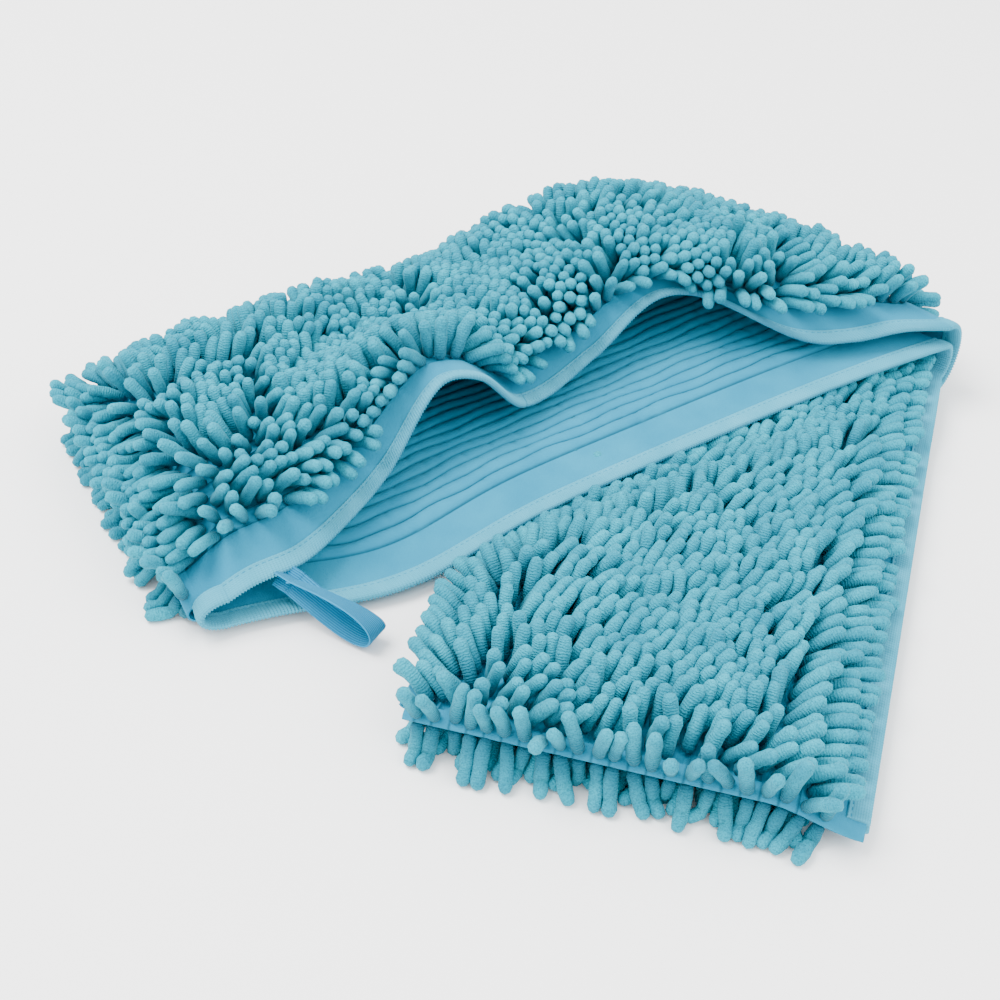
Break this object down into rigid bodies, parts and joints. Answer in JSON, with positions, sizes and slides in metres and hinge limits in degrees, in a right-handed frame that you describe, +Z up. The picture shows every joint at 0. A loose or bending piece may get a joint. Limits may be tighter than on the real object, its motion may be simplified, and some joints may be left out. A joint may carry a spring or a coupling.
{
  "type": "wash mitt",
  "caption": "Long double-sided chenille microfibre wash mitt, open along one bound edge, folded over itself, with a webbing hanging loop",
  "frame": {"origin": "on the table under the middle of the folded mitt's box", "axes": "+Z up; +X along the rear section's mouth from its sewn end to the fold; +Y from the mouth to the closed edge"},
  "size_m": [0.4622, 0.4534, 0.0943],
  "materials": {
    "noodle": "fuzzy chenille",
    "cloth": "fine knitted backing cloth",
    "binding": "ribbed knitted binding",
    "webbing": "ribbed webbing",
    "thread": "sewing thread"
  },
  "bodies": {
    "front_section": {"front_lower_binding": "binding", "front_lower_binding_stitch": "thread", "front_lower_hem_band": "cloth", "front_lower_panel": "cloth", "front_lower_pile": "noodle", "front_upper_binding": "binding", "front_upper_binding_stitch": "thread", "front_upper_hem_band": "cloth", "front_upper_panel": "cloth", "front_upper_pile": "noodle", "front_end_seam": "cloth", "front_closed_seam": "cloth", "fold_outer_panel": "cloth", "fold_inner_panel": "cloth", "fold_outer_binding": "binding", "fold_inner_binding": "binding", "fold_outer_pile": "noodle"},
    "rear_section": {"rear_lower_binding": "binding", "rear_lower_binding_stitch": "thread", "rear_lower_hem_band": "cloth", "rear_lower_panel": "cloth", "rear_lower_pile": "noodle", "rear_left_binding": "binding", "rear_left_binding_stitch": "thread", "rear_left_hem_band": "cloth", "rear_left_panel": "cloth", "rear_left_pile": "noodle", "rear_right_binding": "binding", "rear_right_binding_stitch": "thread", "rear_right_hem_band": "cloth", "rear_right_panel": "cloth", "rear_right_pile": "noodle", "rear_end_seam": "cloth", "rear_closed_seam": "cloth", "mouth_corner_binding": "binding", "loop_bar_tack": "thread"},
    "mouth_lip": {"lip_binding": "binding", "lip_binding_stitch": "thread", "lip_hem_band": "cloth", "lip_panel": "cloth", "lip_pile": "noodle"},
    "hanging_loop": {"hanging_loop": "webbing"}
  },
  "joints": [
    {"name": "unfold", "type": "hinge", "parent": "front_section", "child": "rear_section", "pos_m": [0.21391, 0.01724, 0.028], "axis": [-0.3827, 0.9239, 0], "range_deg": [0, 180], "deforming": ["fold_outer_panel", "fold_inner_panel", "fold_outer_binding", "fold_inner_binding", "fold_outer_pile"]},
    {"name": "mouth_open", "type": "hinge", "parent": "rear_section", "child": "mouth_lip", "pos_m": [-0.01909, 0.21924, 0.018], "axis": [-1, 0, 0], "range_deg": [0, 25]},
    {"name": "loop_swing", "type": "hinge", "parent": "rear_section", "child": "hanging_loop", "pos_m": [-0.17509, 0.01464, 0.0205], "axis": [-0.8493, -0.5278, 0], "range_deg": [0, 110]}
  ]
}
